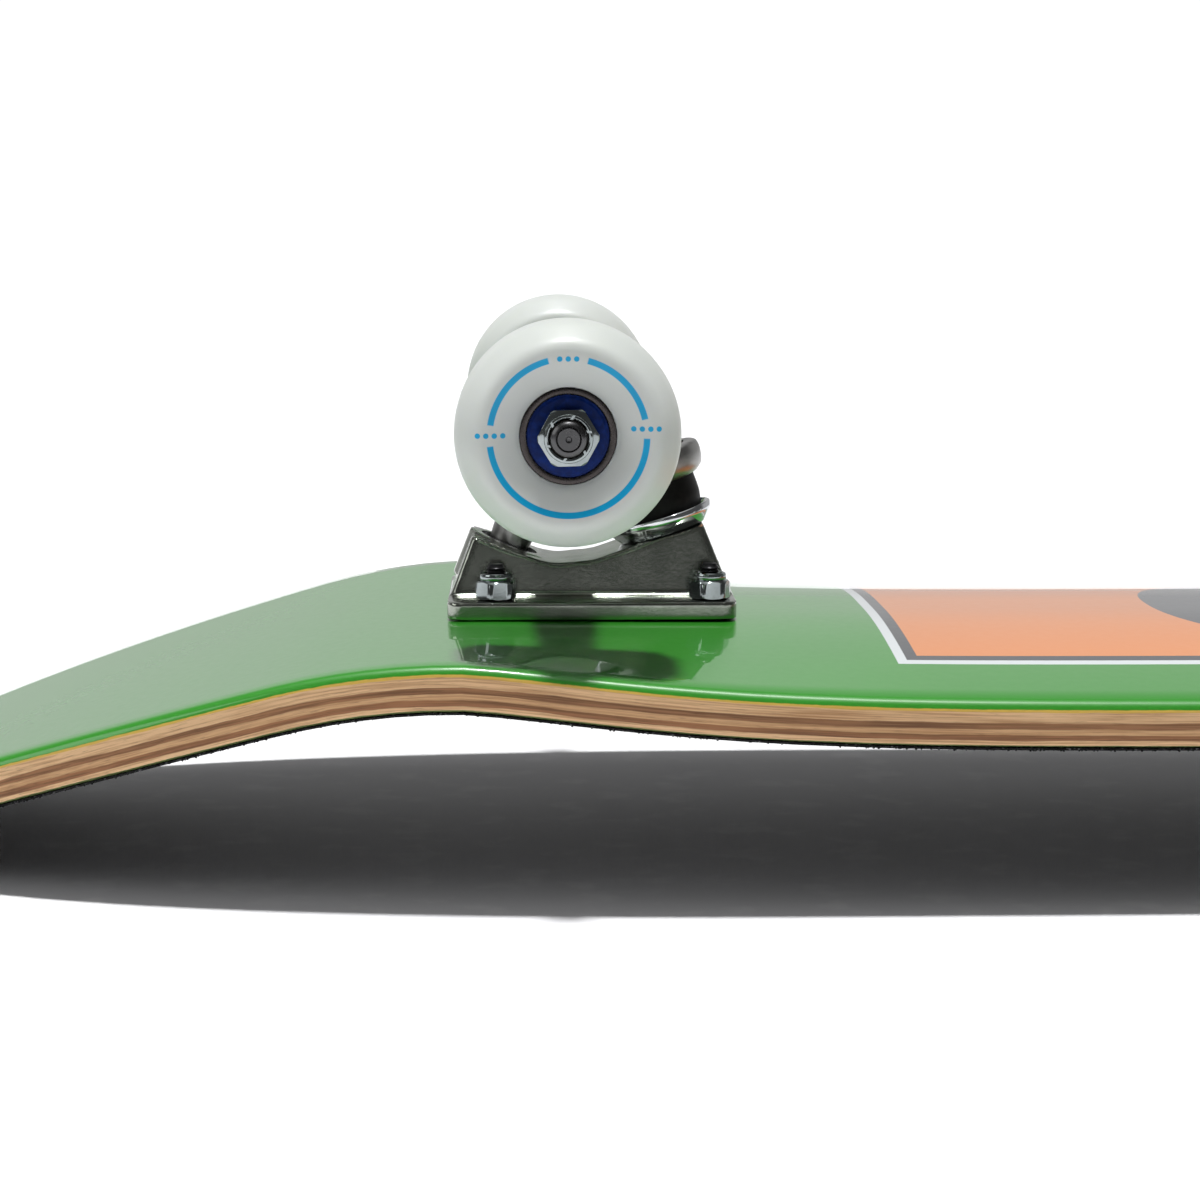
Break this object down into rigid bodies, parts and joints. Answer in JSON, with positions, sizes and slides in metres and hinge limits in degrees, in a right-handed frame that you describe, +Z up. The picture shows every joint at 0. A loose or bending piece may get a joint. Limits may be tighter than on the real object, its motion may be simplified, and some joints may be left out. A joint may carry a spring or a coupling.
{
  "type": "skateboard",
  "caption": "Street skateboard with kicked nose and tail, a green painted maple deck, lean-to-steer trucks and white urethane wheels, stored upside down.",
  "frame": {"origin": "centre of the bounding box in X and Y, on the surface that the upside-down board rests on", "axes": "+X from the nose to the tail, +Y across the board to the rider's left, +Z up, from the riding face to the wheels"},
  "size_m": [0.8064, 0.2032, 0.1356],
  "materials": {
    "deck": "gloss green lacquer on maple plies",
    "grip": "coarse black grit",
    "baseplate": "polished cast",
    "hanger": "fine cast, satin",
    "steel": "zinc plated",
    "chrome": "bright plated",
    "black_steel": "black oxide",
    "urethane_black": "satin urethane",
    "wheel": "translucent white urethane with a printed blue ring",
    "bearing": "dark steel races with a navy shield"
  },
  "bodies": {
    "board": {"deck": "deck", "grip_tape": "grip", "front_baseplate": "baseplate", "front_pivot_cup": "urethane_black", "front_kingpin": "steel", "front_kingpin_nut": "steel", "front_boardside_washer": "chrome", "front_boardside_bushing": "urethane_black", "front_roadside_bushing": "urethane_black", "front_roadside_washer": "chrome", "front_mounting_bolt_outer_left": "black_steel", "front_mounting_nut_outer_left": "chrome", "front_mounting_bolt_outer_right": "black_steel", "front_mounting_nut_outer_right": "chrome", "front_mounting_bolt_inner_left": "black_steel", "front_mounting_nut_inner_left": "chrome", "front_mounting_bolt_inner_right": "black_steel", "front_mounting_nut_inner_right": "chrome", "rear_baseplate": "baseplate", "rear_pivot_cup": "urethane_black", "rear_kingpin": "steel", "rear_kingpin_nut": "steel", "rear_boardside_washer": "chrome", "rear_boardside_bushing": "urethane_black", "rear_roadside_bushing": "urethane_black", "rear_roadside_washer": "chrome", "rear_mounting_bolt_outer_left": "black_steel", "rear_mounting_nut_outer_left": "chrome", "rear_mounting_bolt_outer_right": "black_steel", "rear_mounting_nut_outer_right": "chrome", "rear_mounting_bolt_inner_left": "black_steel", "rear_mounting_nut_inner_left": "chrome", "rear_mounting_bolt_inner_right": "black_steel", "rear_mounting_nut_inner_right": "chrome"},
    "front_hanger": {"front_hanger": "hanger", "front_axle": "steel", "front_left_speed_washer": "chrome", "front_left_axle_nut": "chrome", "front_right_speed_washer": "chrome", "front_right_axle_nut": "chrome"},
    "front_left_wheel": {"front_left_wheel": "wheel", "front_left_outer_bearing": "bearing", "front_left_inner_bearing": "bearing"},
    "front_right_wheel": {"front_right_wheel": "wheel", "front_right_outer_bearing": "bearing", "front_right_inner_bearing": "bearing"},
    "rear_hanger": {"rear_hanger": "hanger", "rear_axle": "steel", "rear_left_speed_washer": "chrome", "rear_left_axle_nut": "chrome", "rear_right_speed_washer": "chrome", "rear_right_axle_nut": "chrome"},
    "rear_left_wheel": {"rear_left_wheel": "wheel", "rear_left_outer_bearing": "bearing", "rear_left_inner_bearing": "bearing"},
    "rear_right_wheel": {"rear_right_wheel": "wheel", "rear_right_outer_bearing": "bearing", "rear_right_inner_bearing": "bearing"}
  },
  "joints": [
    {"name": "front_steer", "type": "hinge", "parent": "board", "child": "front_hanger", "pos_m": [-0.22704, 0, 0.07033], "axis": [0.8494, 0, 0.5278], "range_deg": [-12, 12], "stiffness_Nm_per_rad": 40, "deforming": ["front_boardside_bushing", "front_roadside_bushing"]},
    {"name": "front_left_wheel_spin", "type": "hinge", "parent": "front_hanger", "child": "front_left_wheel", "pos_m": [-0.21151, 0.0797, 0.10959], "axis": [0, 1, 0], "continuous": true},
    {"name": "front_right_wheel_spin", "type": "hinge", "parent": "front_hanger", "child": "front_right_wheel", "pos_m": [-0.21151, -0.0797, 0.10959], "axis": [0, 1, 0], "continuous": true},
    {"name": "rear_steer", "type": "hinge", "parent": "board", "child": "rear_hanger", "pos_m": [0.23974, 0, 0.07033], "axis": [-0.8494, 0, 0.5278], "range_deg": [-12, 12], "stiffness_Nm_per_rad": 40, "deforming": ["rear_boardside_bushing", "rear_roadside_bushing"]},
    {"name": "rear_left_wheel_spin", "type": "hinge", "parent": "rear_hanger", "child": "rear_left_wheel", "pos_m": [0.22421, 0.0797, 0.10959], "axis": [0, 1, 0], "continuous": true},
    {"name": "rear_right_wheel_spin", "type": "hinge", "parent": "rear_hanger", "child": "rear_right_wheel", "pos_m": [0.22421, -0.0797, 0.10959], "axis": [0, 1, 0], "continuous": true}
  ]
}
